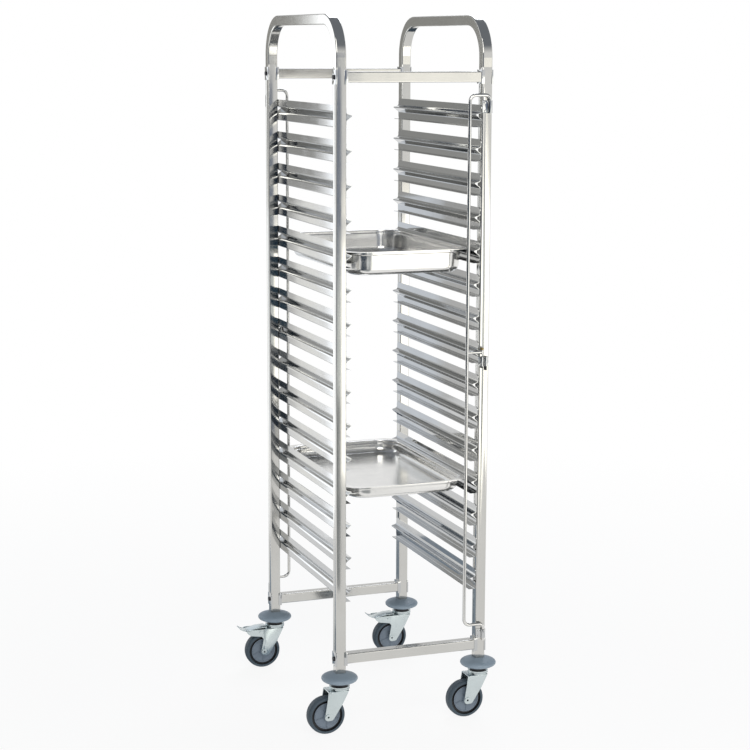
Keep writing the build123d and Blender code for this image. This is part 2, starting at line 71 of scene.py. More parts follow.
def linear(hex_colour):
    """Turns an sRGB hex colour into the linear values that shaders use."""
    parts = [int(hex_colour[i : i + 2], 16) / 255 for i in (1, 3, 5)]
    return [c / 12.92 if c <= 0.04045 else ((c + 0.055) / 1.055) ** 2.4 for c in parts]


def length(name, millimetres, description):
    """A size in the sidebar, given in millimetres and kept in metres."""
    return bpy.props.FloatProperty(
        name=name, description=description, default=millimetres * MM, min=0.0, unit="LENGTH", precision=4
    )


def colour(name, hex_colour, description):
    """A colour in the sidebar, given as sRGB hex."""
    return bpy.props.FloatVectorProperty(
        name=name, description=description, default=linear(hex_colour), subtype="COLOR", min=0, max=1
    )


class TrolleySizes(bpy.types.PropertyGroup):
    """Sizes of the detailed pieces."""

    pan_flange: length("Pan flange", 13.5, "Width of the flat rim round a pan's mouth")
    pan_sheet: length("Pan sheet", 0.8, "Thickness of the drawn sheet of the pans")
    pan_shoulder: length("Pan shoulder", 7.0, "Depth of the stacking shoulder below a pan's rim")
    pan_step: length("Pan step", 1.3, "Width of the ledge between a pan's shoulder and its wall")
    pan_rim_corner: length("Pan rim corner", 42.0, "Corner radius of a pan's rim")
    pan_mouth_corner: length("Pan mouth corner", 54.0, "Corner radius of a pan's mouth")
    pan_floor_bend: length("Pan floor bend", 17.0, "Radius between a pan's wall and its floor")
    fork_bend: length("Fork bend", 2.4, "Outside radius where a fork's crown folds into its legs")
    edge_round: length("Edge rounding", 0.35, "Rounding of the cut edges of sheet and plate")
    tread_groove: length("Tread groove", 0.8, "Depth of the two rings moulded into a tyre's shoulders")
    hub_rib: length("Hub rib", 1.6, "Thickness of the ribs moulded into a wheel's hub")


class TrolleyColours(bpy.types.PropertyGroup):
    """Colours of the finishes."""

    tube: colour("Tube", "#cac9c5", "Brushed stainless tube of the posts, crossbars and arches")
    sheet: colour("Sheet", "#c1c2c2", "Cold-rolled stainless sheet of the runners and clips")
    pan: colour("Pan", "#e8e7e4", "Polished stainless sheet of the pans")
    rod: colour("Rod", "#d6d5d2", "Drawn stainless rod of the tray bars")
    brass: colour("Knob", "#b39f6c", "Turned brass of the latch knobs")
    bolt: colour("Bolt", "#4b4c50", "Blackened steel of the crossbar bolts")
    zinc: colour("Zinc", "#c9d2d3", "Bright zinc plating of the casters' metalwork")
    bumper: colour("Bumper", "#7e8d9a", "Moulded bumper discs")
    # This black also lines the wheels' grooves as painted shade
    seal: colour("Seal", "#1c1e22", "Black plastic of the casters' seals and the catches' pins")
    hub: colour("Hub", "#65717e", "Moulded polypropylene of the wheel hubs")
    tyre: colour("Tyre", "#3b4954", "Grey rubber of the tyres")


# Modelling helpers


def only(piece):
    """Leaves one object selected and active."""
    bpy.ops.object.select_all(action="DESELECT")
    piece.select_set(True)
    bpy.context.view_layer.objects.active = piece


def settle(piece, name):
    """Names a finished primitive and puts its place into its mesh."""
    piece.name = name
    piece.data.name = name
    only(piece)
    bpy.ops.object.transform_apply(location=True, rotation=True, scale=True)
    return piece


def select_where(piece, kind, test):
    """Selects, in edit mode, the edges or faces that pass a test of their middle and their way."""
    bpy.ops.mesh.select_mode(type={"edges": "EDGE", "faces": "FACE"}[kind])
    bpy.ops.mesh.select_all(action="DESELECT")
    mesh = bmesh.from_edit_mesh(piece.data)
    for part in getattr(mesh, kind):
        if kind == "edges":
            start, end = (vertex.co for vertex in part.verts)
            place, way = (start + end) / 2, end - start
        else:
            place, way = part.calc_center_median(), part.normal
        if test(place, way):
            part.select_set(True)
    mesh.select_flush_mode()
    bmesh.update_edit_mesh(piece.data)


def apply_modifier(piece, kind, **settings):
    """Adds one modifier with its settings and applies it."""
    modifier = piece.modifiers.new(kind.title(), kind)
    for key, value in settings.items():
        setattr(modifier, key, value)
    only(piece)
    bpy.ops.object.modifier_apply(modifier=modifier.name)


def round_edges(piece, width, segments=3):
    """Rounds every sharp edge, and shades the piece smooth between those that are left."""
    apply_modifier(piece, "BEVEL", width=width, segments=segments, limit_method="ANGLE", angle_limit=SHARP)
    bpy.ops.object.shade_smooth_by_angle(angle=SHARP)


def turned(name, centre, axis, profile, segments=96):
    """Turns a closed ring: a circle extruded from point to point of a profile of radius and height."""
    bpy.ops.object.select_all(action="DESELECT")
    radius, height = profile[0]
    bpy.ops.mesh.primitive_circle_add(
        vertices=segments,
        radius=radius,
        location=centre + axis * height,
        rotation=Z.rotation_difference(axis).to_euler(),
    )
    piece = settle(bpy.context.object, name)
    bpy.ops.object.mode_set(mode="EDIT")
    bpy.ops.mesh.select_all(action="SELECT")
    for r, h in profile[1:] + profile[:1]:
        bpy.ops.mesh.extrude_region_move(TRANSFORM_OT_translate={"value": axis * (h - height)})
        share = r / radius
        bpy.ops.transform.resize(
            value=[1 if abs(part) > 0.5 else share for part in axis], center_override=centre + axis * h
        )
        radius, height = r, h
    bpy.ops.mesh.select_all(action="SELECT")
    bpy.ops.mesh.remove_doubles(threshold=1e-6)
    bpy.ops.mesh.normals_make_consistent(inside=False)
    bpy.ops.object.mode_set(mode="OBJECT")
    return piece


def scaled(profile):
    """Turns a profile in millimetres to metres."""
    return [(r * MM, h * MM) for r, h in profile]


def copied(piece, name, offset):
    """Copies a finished piece with a mesh of its own, moved by the offset."""
    twin = piece.copy()
    twin.data = piece.data.copy()
    twin.name = name
    twin.data.name = name
    twin.data.transform(Matrix.Translation(offset))
    bpy.context.scene.collection.objects.link(twin)
    return twin


def unfolded(node, name):
    """Copies a CAD node as a merged mesh with whole flat faces, ready to be worked on."""
    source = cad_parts[node]
    piece = bpy.data.objects.new(name, source.data.copy())
    piece.data.name = name
    bpy.context.scene.collection.objects.link(piece)
    only(piece)
    bpy.ops.mesh.customdata_custom_splitnormals_clear()
    bpy.ops.object.mode_set(mode="EDIT")
    bpy.ops.mesh.select_all(action="SELECT")
    bpy.ops.mesh.remove_doubles(threshold=2e-6)
    bpy.ops.mesh.dissolve_limited(angle_limit=radians(0.5))
    bpy.ops.object.mode_set(mode="OBJECT")
    return piece


def finish(piece, body, slot, material, *nodes):
    """Gives a piece its material and its body, and hides the CAD nodes that it stands for. The slot is not
    used.
    """
    piece.data.materials.clear()
    piece.data.materials.append(material)
    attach(piece, body)
    if nodes:
        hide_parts(*nodes)


def middle(node):
    """The middle of a CAD node's box."""
    low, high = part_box(node)
    return (low + high) / 2


# Materials


def add_node(tree, kind, inputs=None, **settings):
    """Adds one node with its settings, and sets or links its inputs."""
    made = tree.nodes.new(kind)
    for key, value in settings.items():
        setattr(made, key, value)
    for key, value in (inputs or {}).items():
        if isinstance(value, bpy.types.NodeSocket):
            tree.links.new(value, made.inputs[key])
        else:
            made.inputs[key].default_value = value
    return made


def new_material(name):
    """An empty node material that is found again by its name."""
    material = bpy.data.materials.new(name)
    material.use_nodes = True
    material.node_tree.nodes.clear()
    return material, material.node_tree


def grain(tree, size_mm, stretch, detail=3.0, roughness=0.6):
    """Noise on Object coordinates with features of a given size, drawn out by a factor along each axis."""
    place = add_node(tree, "ShaderNodeTexCoord")
    scale = [1 / (size_mm * MM * s) for s in stretch]
    spread = add_node(tree, "ShaderNodeMapping", {"Vector": place.outputs["Object"], "Scale": scale})
    noise = {"Vector": spread.outputs["Vector"], "Scale": 1.0, "Detail": detail, "Roughness": roughness}
    return add_node(tree, "ShaderNodeTexNoise", noise).outputs["Fac"]


def between(tree, pattern, low, high, start=0.25, end=0.75):
    """Maps a pattern to a range of numbers."""
    inputs = {"Value": pattern, "From Min": start, "From Max": end, "To Min": low, "To Max": high}
    return add_node(tree, "ShaderNodeMapRange", inputs).outputs["Result"]


def blend(tree, pattern, first, second):
    """Mixes two linear colours by a pattern."""
    mix = add_node(tree, "ShaderNodeMix", data_type="RGBA")
    for name, value in (("Factor", pattern), ("A", [*first, 1]), ("B", [*second, 1])):
        socket = next(s for s in mix.inputs if s.name == name and s.enabled)
        if isinstance(value, bpy.types.NodeSocket):
            tree.links.new(value, socket)
        else:
            socket.default_value = value
    return next(s for s in mix.outputs if s.enabled)


def shaded(tree, pattern, base, factor):
    """Mixes a colour with a darker or lighter cast of itself by a pattern."""
    return blend(tree, pattern, base, [min(1.0, c * factor) for c in base])


def surface(tree, base, roughness, height, height_mm, metallic=0.0):
    """The shader and the output, with relief of a real height in millimetres."""
    bump = {"Height": height, "Distance": height_mm * MM, "Strength": 1.0}
    relief = add_node(tree, "ShaderNodeBump", bump)
    inputs = {
        "Base Color": base,
        "Roughness": roughness,
        "Metallic": metallic,
        "Normal": relief.outputs["Normal"],
    }
    shader = add_node(tree, "ShaderNodeBsdfPrincipled", inputs)
    add_node(tree, "ShaderNodeOutputMaterial", {"Surface": shader.outputs["BSDF"]})


def steel(name, base, roughness, line_mm, stretch, height_mm=0.001, spread=0.05):
    """Stainless steel: fine lines left by the belt or the rolls, and faint handling marks that dull it."""
    material, tree = new_material(name)
    lines = grain(tree, line_mm, stretch, detail=2.0)
    marks = grain(tree, 90.0, (1, 1, 1.6), detail=4.0)
    gloss = between(tree, lines, roughness - spread, roughness + spread)
    dull = between(tree, marks, -0.02, 0.05, start=0.35, end=0.8)
    total = add_node(tree, "ShaderNodeMath", {0: gloss, 1: dull}, operation="ADD").outputs["Value"]
    tint = shaded(tree, between(tree, marks, 0.0, 1.0), base, factor=0.93)
    surface(tree, tint, total, lines, height_mm, metallic=1.0)


def zinc_plated(name, base):
    """Bright zinc on pressed steel: a cool white metal, slightly clouded where its last bath pooled."""
    material, tree = new_material(name)
    clouds = grain(tree, 22.0, (1, 1, 1), detail=2.0)
    pits = grain(tree, 1.2, (1, 1, 1), detail=1.0)
    tint = shaded(tree, between(tree, clouds, 0.0, 1.0), base, factor=0.92)
    surface(tree, tint, between(tree, clouds, 0.2, 0.28), pits, height_mm=0.003, metallic=1.0)


def turned_metal(name, base, roughness):
    """Turned metal: fine rings round the piece's upright axis, with tarnish between them."""
    material, tree = new_material(name)
    rings = grain(tree, 0.3, (60, 60, 1), detail=1.0)
    tarnish = grain(tree, 3.0, (1, 1, 1), detail=4.0)
    tint = shaded(tree, between(tree, tarnish, 0.0, 1.0), base, factor=0.75)
    gloss = between(tree, rings, roughness - 0.06, roughness + 0.08)
    surface(tree, tint, gloss, rings, height_mm=0.01, metallic=1.0)


def moulded(name, base, roughness, texture_mm, height_mm, shade=0.9):
    """Moulded plastic or rubber: the mould's even grain, and wide faint flow marks in colour and gloss."""
    material, tree = new_material(name)
    flow = grain(tree, 25.0, (1, 1, 1), detail=3.0)
    texture = grain(tree, texture_mm, (1, 1, 1), detail=2.0)
    tint = shaded(tree, between(tree, flow, 0.0, 1.0, start=0.3, end=0.7), base, shade)
    gloss = between(tree, flow, roughness - 0.05, roughness + 0.06)
    surface(tree, tint, gloss, texture, height_mm)


FINISH_NAMES = {
    "tube_upright": "Brushed stainless tube, upright",
    "tube_across": "Brushed stainless tube, across",
    "sheet": "Cold-rolled stainless sheet",
    "pan": "Polished drawn stainless pan",
    "rod": "Drawn stainless rod",
    "zinc": "Bright zinc plate",
    "brass": "Turned brass",
    "bolt": "Blackened steel",
    "bumper": "Grey thermoplastic elastomer",
    "seal": "Black glass-filled nylon",
    "hub": "Grey polypropylene",
    "tyre": "Grey vulcanised rubber",
}


def finishes():
    """Returns every finish by its short name, and makes them all at the first call."""
    if FINISH_NAMES["tube_upright"] not in bpy.data.materials:
        make_finishes(bpy.context.scene.trolley_colours)
    return {key: bpy.data.materials[name] for key, name in FINISH_NAMES.items()}


def make_finishes(colours):
    """Makes the materials. Grain too fine for the picture is drawn coarser, as the comments say."""
    names = FINISH_NAMES
    # Belt-brushed tube, which glints along its length: lines 1 mm wide, where real ones are about 0.1 mm
    tube = {"roughness": 0.11, "line_mm": 1.0}
    steel(names["tube_upright"], colours.tube, stretch=(1, 1, 120), **tube)
    steel(names["tube_across"], colours.tube, stretch=(120, 1, 1), **tube)
    # Bright cold-rolled sheet, the nearest to a mirror: faint roll lines along the runner, 1.5 mm wide,
    # where real ones are too fine to see
    rolled = {"line_mm": 1.5, "stretch": (1, 40, 1), "height_mm": 0.0003}
    steel(names["sheet"], colours.sheet, roughness=0.08, spread=0.02, **rolled)
    # Deep-drawn and polished pan steel: soft wide reflections, and 2.5 mm ripples left by the drawing
    steel(names["pan"], colours.pan, roughness=0.18, line_mm=2.5, stretch=(1, 1, 1), spread=0.03)
    # Drawn rod, bright along its length: draw lines 0.8 mm wide, where real ones are about 0.05 mm
    steel(names["rod"], colours.rod, roughness=0.12, line_mm=0.8, stretch=(1, 1, 60), spread=0.04)
    zinc_plated(names["zinc"], colours.zinc)
    # Brass: warm and half bright, with its turning rings
    turned_metal(names["brass"], colours.brass, roughness=0.3)
    # Blackened steel: near black, with a dull oiled sheen
    turned_metal(names["bolt"], colours.bolt, roughness=0.45)
    # Bumper: soft elastomer with an even matt grain, drawn 0.7 mm wide, where the real one is about 0.3 mm
    moulded(names["bumper"], colours.bumper, roughness=0.5, texture_mm=0.7, height_mm=0.02, shade=0.93)
    # Seal and pins: glass-filled nylon, black with a low gloss, its 0.2 mm grain drawn 0.6 mm wide; the
    # black linings in the wheels' grooves use it too, as painted shade
    moulded(names["seal"], colours.seal, roughness=0.42, texture_mm=0.6, height_mm=0.015)
    # Hub: polypropylene, smooth and slightly waxy, with shallow 1.2 mm ripples
    moulded(names["hub"], colours.hub, roughness=0.38, texture_mm=1.2, height_mm=0.01, shade=0.92)
    # Tyre: vulcanised grey rubber, matt with dust in its grain, which is drawn 0.9 mm wide, not 0.3 mm
    moulded(names["tyre"], colours.tyre, roughness=0.62, texture_mm=0.9, height_mm=0.03, shade=0.86)


def paint(node, material):
    """Gives a CAD node that stays a better material."""
    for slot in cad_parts[node].material_slots:
        slot.material = material


# Operators


class TROLLEY_OT_stage(bpy.types.Operator):
    """Make the floor, the world, the lamps and the camera"""

    bl_idname = "trolley.stage"
    bl_label = "Stage"

    def execute(self, context):
        self.make_floor()
        self.make_flags()
        self.make_world(context.scene)
        self.make_lamps()
        self.make_camera(context.scene)
        context.scene.view_settings.view_transform = "Standard"
        return {"FINISHED"}

    def make_floor(self):
        radius = 60.0
        # White paper on a light table: near the trolley it keeps a faint shadow, far away it is plain white
        near, far = 0.8, 3.0
        glow_near, glow_far = 0.88, 1.0
        bpy.ops.object.select_all(action="DESELECT")
        bpy.ops.mesh.primitive_circle_add(vertices=64, radius=radius, fill_type="NGON", location=(0, 0, 0))
        floor = settle(bpy.context.object, "studio_floor")
        material, tree = new_material("White studio paper")
        place = add_node(tree, "ShaderNodeTexCoord").outputs["Object"]
        distance = add_node(tree, "ShaderNodeVectorMath", {0: place}, operation="LENGTH").outputs["Value"]
        glow = between(tree, distance, glow_near, glow_far, near, far)
        paper = add_node(tree, "ShaderNodeBsdfDiffuse", {"Color": [*linear("#fafafa"), 1]})
        white = add_node(tree, "ShaderNodeEmission", {"Color": [*linear("#ffffff"), 1], "Strength": 1.0})
        mix = {0: glow, 1: paper.outputs["BSDF"], 2: white.outputs["Emission"]}
        cover = add_node(tree, "ShaderNodeMixShader", mix)
        add_node(tree, "ShaderNodeOutputMaterial", {"Surface": cover.outputs["Shader"]})
        floor.data.materials.append(material)

    def make_flags(self):
        # Dark cloths and white cards that the camera doesn't see and only the metal mirrors:
        # they give it the hard dark and light edges of polished steel in a studio
        upright, flat, facing_side = (pi / 2, 0, 0), (0, 0, 0), (0, pi / 2, 0)
        beside_camera = (pi / 2, 0, radians(-28))
        below_camera = (0, 0, radians(-23))
        aslant = (0, 0, radians(19.1))
        # One colour, or one low down and one high up
        navy, slate, ink = ("#3d5567", "#1c3248"), ("#3a4450",), ("#22303f",)
        grey_blue, dusk, pale_grey, dark_grey = ("#8a97a4",), ("#46525e",), ("#9ca0a2",), ("#4a4f56",)
        stone, mist = ("#dfdedc", "#a3a3a0"), ("#e2e7e7", "#8a93a4")
        cool_white, side_white = ("#eef3fa",), ("#f8fbff",)
        plain_white, warm_white = ("#fbfaf6",), ("#fffdf6",)
        # Each with its middle, turn, width and height, colours and brightness
        cards = (
            ("flag_camera", (-3.136, -4.545, 1.3), beside_camera, (3.026, 2.6), navy, 1.0),
            ("flag_camera_low", (-1.414, -5.46, 0.68), beside_camera, (0.874, 1.36), navy, 1.0),
            ("flag_by_camera", (-1.33, -2.95, 0.01), below_camera, (2.0, 3.3), slate, 1.0),
            ("flag_middle", (-0.3, 1.5, 1.2), upright, (0.8, 1.5), stone, 1.0),
            ("card_middle", (-0.175, 1.49, 0.75), upright, (0.55, 0.8), cool_white, 1.05),
            ("card_left", (-0.655, 1.49, 0.65), upright, (0.09, 1.0), plain_white, 1.2),
            ("card_side", (-1.12, 1.5, 1.0), upright, (0.78, 2.0), side_white, 2.0),
            ("flag_high", (-0.4, 4.0, 2.4), upright, (0.84, 1.8), ink, 1.0),
            ("flag_right_low", (-0.14, 0.75, 0.013), flat, (0.48, 1.2), grey_blue, 1.0),
            ("flag_behind_low", (1.0, 1.75, 0.01), flat, (2.6, 1.7), dusk, 1.0),
            ("flag_front_low", (0.14, -2.735, 0.011), aslant, (1.0, 3.45), pale_grey, 1.0),
            ("flag_left", (-3.4, -1.7, 1.3), facing_side, (2.6, 4.2), dark_grey, 1.0),
            ("flag_front", (0.338, -4.2, 1.3), upright, (1.676, 2.6), mist, 1.0),
            ("card_front", (2.188, -4.2, 0.625), upright, (2.024, 1.25), warm_white, 2.4),
            ("card_front_high", (2.188, -4.2, 1.54), upright, (2.024, 0.22), warm_white, 1.5),
            ("card_front_side", (2.545, -4.2, 1.34), upright, (1.31, 0.18), warm_white, 2.4),
            ("card_front_low", (1.569, -2.888, 0.012), aslant, (1.6, 2.222), warm_white, 2.3),
        )
        for name, place, turn, size, colours, strength in cards:
            bpy.ops.object.select_all(action="DESELECT")
            bpy.ops.mesh.primitive_plane_add(size=1, location=place, rotation=turn)
            flag = bpy.context.object
            flag.scale = (*size, 1)
            settle(flag, name)
            flag.data.materials.append(self.cloth(name, colours[0], colours[-1], strength))
            flag.visible_camera = flag.visible_diffuse = flag.visible_shadow = False

    def cloth(self, name, low_colour, high_colour, strength):
        """An even glow that changes from one colour to the other between two heights above the floor."""
        low_edge, high_edge = 0.7, 1.4
        material, tree = new_material(f"Cloth of {name}")
        spot = add_node(tree, "ShaderNodeTexCoord").outputs["Object"]
        height = add_node(tree, "ShaderNodeSeparateXYZ", {0: spot}).outputs["Z"]
        share = between(tree, height, 0.0, 1.0, low_edge, high_edge)
        hue = blend(tree, share, linear(low_colour), linear(high_colour))
        glow = add_node(tree, "ShaderNodeEmission", {"Color": hue, "Strength": strength})
        add_node(tree, "ShaderNodeOutputMaterial", {"Surface": glow.outputs["Emission"]})
        return material

    def make_world(self, scene):
        # White round the horizon, and a darker cool ceiling that the metal shows in its upward curves
        world = bpy.data.worlds.new("Studio")
        scene.world = world
        world.use_nodes = True
        tree = world.node_tree
        tree.nodes.clear()
        way = add_node(tree, "ShaderNodeTexCoord").outputs["Generated"]
        up = add_node(tree, "ShaderNodeSeparateXYZ", {0: way}).outputs["Z"]
        share = between(tree, up, 0.0, 1.0, start=0.2, end=0.5)
        sky = blend(tree, share, linear("#ffffff"), linear("#81868e"))
        back = add_node(tree, "ShaderNodeBackground", {"Color": sky, "Strength": 1.0})
        add_node(tree, "ShaderNodeOutputWorld", {"Surface": back.outputs["Background"]})

    def make_lamps(self):
        # Each with its middle, what it aims at, its width and height, its watts and its colour
        lamps = (
            ("key_softbox", (-0.9, -3.6, 3.6), (0, 0, 0.8), (2.6, 2.6), 76.0, "#fffdf8"),
            ("fill_softbox", (1.75, -4.8, 1.5), (0, 0, 1.1), (3.0, 2.6), 54.0, "#fff9ee"),
            ("back_softbox", (1.6, 2.6, 3.6), (0, 0, 0.8), (2.0, 2.0), 55.0, "#f6f9ff"),
        )
        for name, place, aim, size, power, hex_colour in lamps:
            data = bpy.data.lights.new(name, "AREA")
            data.shape = "RECTANGLE"
            data.size, data.size_y = size
            data.energy = power
            data.color = linear(hex_colour)
            lamp = bpy.data.objects.new(name, data)
            # The fill would hide the cards that the metal mirrors, so the metal doesn't show it
            lamp.visible_glossy = name != "fill_softbox"
            lamp.location = place
            lamp.rotation_euler = (Vector(aim) - Vector(place)).to_track_quat("-Z", "Y").to_euler()
            bpy.context.scene.collection.objects.link(lamp)

    def make_camera(self, scene):
        # To the left and in front of the trolley, turned right, tilted down and very slightly rolled
        place = (-1.62384, -4.44707, 1.65499)
        right, down, roll = 0.3510, 0.1730, 0.0035
        data = bpy.data.cameras.new("camera")
        data.lens = 91.18
        data.sensor_width = 36.0
        data.clip_end = 200.0
        camera = bpy.data.objects.new("camera", data)
        turn = Matrix.Rotation(-right, 4, "Z") @ Matrix.Rotation(pi / 2 - down, 4, "X")
        camera.matrix_world = Matrix.Translation(place) @ turn @ Matrix.Rotation(roll, 4, "Z")
        scene.collection.objects.link(camera)
        scene.camera = camera


class TROLLEY_OT_finishes(bpy.types.Operator):
    """Give the CAD nodes that stay their materials"""

    bl_idname = "trolley.finishes"
    bl_label = "Finishes"

    def execute(self, context):
        materials = finishes()
        across = [f"crossbar_{end}_{level}" for end in ("front", "rear") for level in ("top", "bottom")]
        runners = [f"runners_tier_{tier:02d}" for tier in TIERS]
        kept = {
            "tube_upright": ["handle_arch_left", "handle_arch_right"],
            "tube_across": across,
            "sheet": runners,
            "rod": ["front_bar", "rear_bar"],
            "seal": ["caster_seals", "latch_catch_pins"],
            "zinc": ["caster_races", "caster_stems", *[f"caster_pins_{corner}" for corner in CORNERS]],
        }
        for finish_name, nodes in kept.items():
            for node in nodes:
                paint(node, materials[finish_name])
        return {"FINISHED"}


class TROLLEY_OT_soft_edges(bpy.types.Operator):
    """Round the cut edges of the posts, joints, clips and fasteners"""

    bl_idname = "trolley.soft_edges"
    bl_label = "Rounded edges"

    def execute(self, context):
        materials = finishes()
        plate = context.scene.trolley_sizes.edge_round
        small_sheet, rivet_head, bolt_head = 0.3 * MM, 0.5 * MM, 0.6 * MM
        jobs = [(f"post_{corner}", "tube_upright", "stainless_tube", plate) for corner in CORNERS]
        jobs += [
            ("crossbar_shoes", "sheet", "stainless_sheet", plate),
            ("crossbar_saddles", "sheet", "stainless_sheet", plate),
            ("bar_hinge_clips", "sheet", "stainless_sheet", small_sheet),
            ("latch_catches", "sheet", "stainless_sheet", small_sheet),
            ("clip_rivets", "sheet", "stainless_sheet", rivet_head),
            ("crossbar_bolts", "bolt", "bolt_steel", bolt_head),
        ]
        for node, finish_name, slot, rounding in jobs:
            piece = unfolded(node, f"{node}_softened")
            round_edges(piece, rounding)
            finish(piece, "frame", slot, materials[finish_name], node)
        return {"FINISHED"}


class TROLLEY_OT_pans(bpy.types.Operator):
    """Draw the two gastronorm pans with rim, shoulder and rounded floor"""

    bl_idname = "trolley.pans"
    bl_label = "Pans"

    def execute(self, context):
        materials = finishes()
        sizes = context.scene.trolley_sizes
        for node, body in (("deep_pan", "deep_pan_body"), ("shallow_pan", "shallow_pan_body")):
            low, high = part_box(node)
            piece = self.make_pan(sizes, f"{node}_drawn", low, high)
            finish(piece, body, "stainless_pan", materials["pan"], node)
        return {"FINISHED"}

    def make_pan(self, sizes, name, low, high):
        """Makes the flat rim, draws wall and floor down from its inner edge, and gives them thickness."""
        mouth_bend = 3.0 * MM
        least_inset = 1e-5
        soft_bends = radians(40.0)
        size = high - low
        centre = Vector(((low.x + high.x) / 2, (low.y + high.y) / 2, high.z))
        bpy.ops.object.select_all(action="DESELECT")
        bpy.ops.mesh.primitive_plane_add(size=1, location=centre)
        piece = bpy.context.object
        piece.scale = (size.x, size.y, 1)
        settle(piece, name)
        bpy.ops.object.mode_set(mode="EDIT")
        self.make_rim(sizes, centre, size, mouth_bend)
        select_where(piece, "faces", lambda place, way: (place - centre).length < 1 * MM)
        for inward, down in self.drawing_steps(sizes, size.z, mouth_bend):
            bpy.ops.mesh.inset(thickness=max(inward, least_inset), depth=-down, use_even_offset=True)
        self.turn_hem_down(sizes, piece)
        bpy.ops.object.mode_set(mode="OBJECT")
        apply_modifier(piece, "SOLIDIFY", thickness=sizes.pan_sheet, offset=-1.0, use_even_offset=True)
        bpy.ops.object.shade_smooth_by_angle(angle=soft_bends)
        return piece

    def make_rim(self, sizes, centre, size, mouth_bend):
        """Rounds the corners of the rim's outer and inner outline, and bridges the two."""
        corners = {"offset_type": "OFFSET", "segments": 14, "affect": "VERTICES"}
        bpy.ops.mesh.select_mode(type="VERT")
        bpy.ops.mesh.select_all(action="SELECT")
        bpy.ops.mesh.bevel(offset=sizes.pan_rim_corner, **corners)
        bpy.ops.mesh.delete(type="ONLY_FACE")
        bpy.ops.mesh.select_all(action="DESELECT")
        flat = 2 * (sizes.pan_flange - mouth_bend)
        bpy.ops.mesh.primitive_plane_add(size=1, location=centre)
        bpy.ops.transform.resize(value=(size.x - flat, size.y - flat, 1), center_override=centre)
        bpy.ops.mesh.bevel(offset=sizes.pan_mouth_corner + mouth_bend, **corners)
        bpy.ops.mesh.select_mode(type="EDGE")
        bpy.ops.mesh.select_all(action="SELECT")
        bpy.ops.mesh.bridge_edge_loops()

    def drawing_steps(self, sizes, height, mouth_bend):
        """The insets from the mouth to the floor, each a way inward and a way down."""
        shoulder_slope, ledge_slope, wall_slope = 88.0, 25.0, 85.0
        ledge_bend, wall_bend = 1.2 * MM, 1.8 * MM
        floor_ring = 12.0 * MM
        steps = self.bend(mouth_bend, 0.0, shoulder_slope, 6) + [(0.0, sizes.pan_shoulder - mouth_bend)]
        steps += self.bend(ledge_bend, shoulder_slope, ledge_slope, 3)
        steps += [(sizes.pan_step, sizes.pan_step * tan(radians(ledge_slope)))]
        steps += self.bend(wall_bend, ledge_slope, wall_slope, 4)
        floor = self.bend(sizes.pan_floor_bend, wall_slope, 0.0, 10)
        wall = height - sizes.pan_sheet - sum(down for _, down in steps + floor)
        taper = tan(radians(90.0 - wall_slope))
        return steps + [(taper * wall / 2, wall / 2)] * 2 + floor + [(floor_ring, 0.0)]

    def turn_hem_down(self, sizes, piece):
        """Turns the rim's outer edge down by the thickness of the sheet."""
        bpy.ops.mesh.select_mode(type="EDGE")
        bpy.ops.mesh.select_all(action="DESELECT")
        mesh = bmesh.from_edit_mesh(piece.data)
        for edge in mesh.edges:
            edge.select_set(edge.is_boundary)
        bmesh.update_edit_mesh(piece.data)
        bpy.ops.mesh.extrude_region_move(TRANSFORM_OT_translate={"value": (0, 0, -sizes.pan_sheet)})

    def bend(self, radius, start, end, count):
        """Steps inward and down round a bend from one slope to another, in degrees below level."""
        steps = []
        turn = 1 if end > start else -1
        for index in range(count):
            a = radians(start + (end - start) * index / count)
            b = radians(start + (end - start) * (index + 1) / count)
            steps.append((abs(radius * (sin(b) - sin(a))), turn * radius * (cos(a) - cos(b))))
        return steps


class TROLLEY_OT_knobs(bpy.types.Operator):
    """Turn the brass knobs of the bars' latches"""

    bl_idname = "trolley.knobs"
    bl_label = "Latch knobs"

    def execute(self, context):
        materials = finishes()
        # Radius and height of each turn of the tool, in millimetres, from the foot outwards and up
        profile = [(0.4, 0), (3.4, 0), (3.9, 0.6), (3.9, 2.6), (3.3, 3.1), (3.3, 3.5), (3.9, 4.0)]
        profile += [(3.9, 5.4), (3.2, 6.0), (0.4, 6.0)]
        dome = [(0.4, 5.6), (2.4, 5.6), (2.5, 6.4), (2.3, 7.2), (1.7, 7.7), (1.0, 7.9), (0.4, 7.95)]
        for bar, body in (("front_bar", "front_tray_bar"), ("rear_bar", "rear_tray_bar")):
            low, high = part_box(f"{bar}_knob")
            foot = Vector(((low.x + high.x) / 2, (low.y + high.y) / 2, low.z))
            piece = turned(f"{bar}_knob_turned", foot, Z, scaled(profile), 40)
            round_edges(piece, 0.2 * MM, 2)
            finish(piece, body, "knob_brass", materials["brass"], f"{bar}_knob")
            tip = turned(f"{bar}_knob_tip", foot, Z, scaled(dome), 32)
            round_edges(tip, 0.15 * MM, 2)
            finish(tip, body, "stainless_rod", materials["rod"])
        return {"FINISHED"}


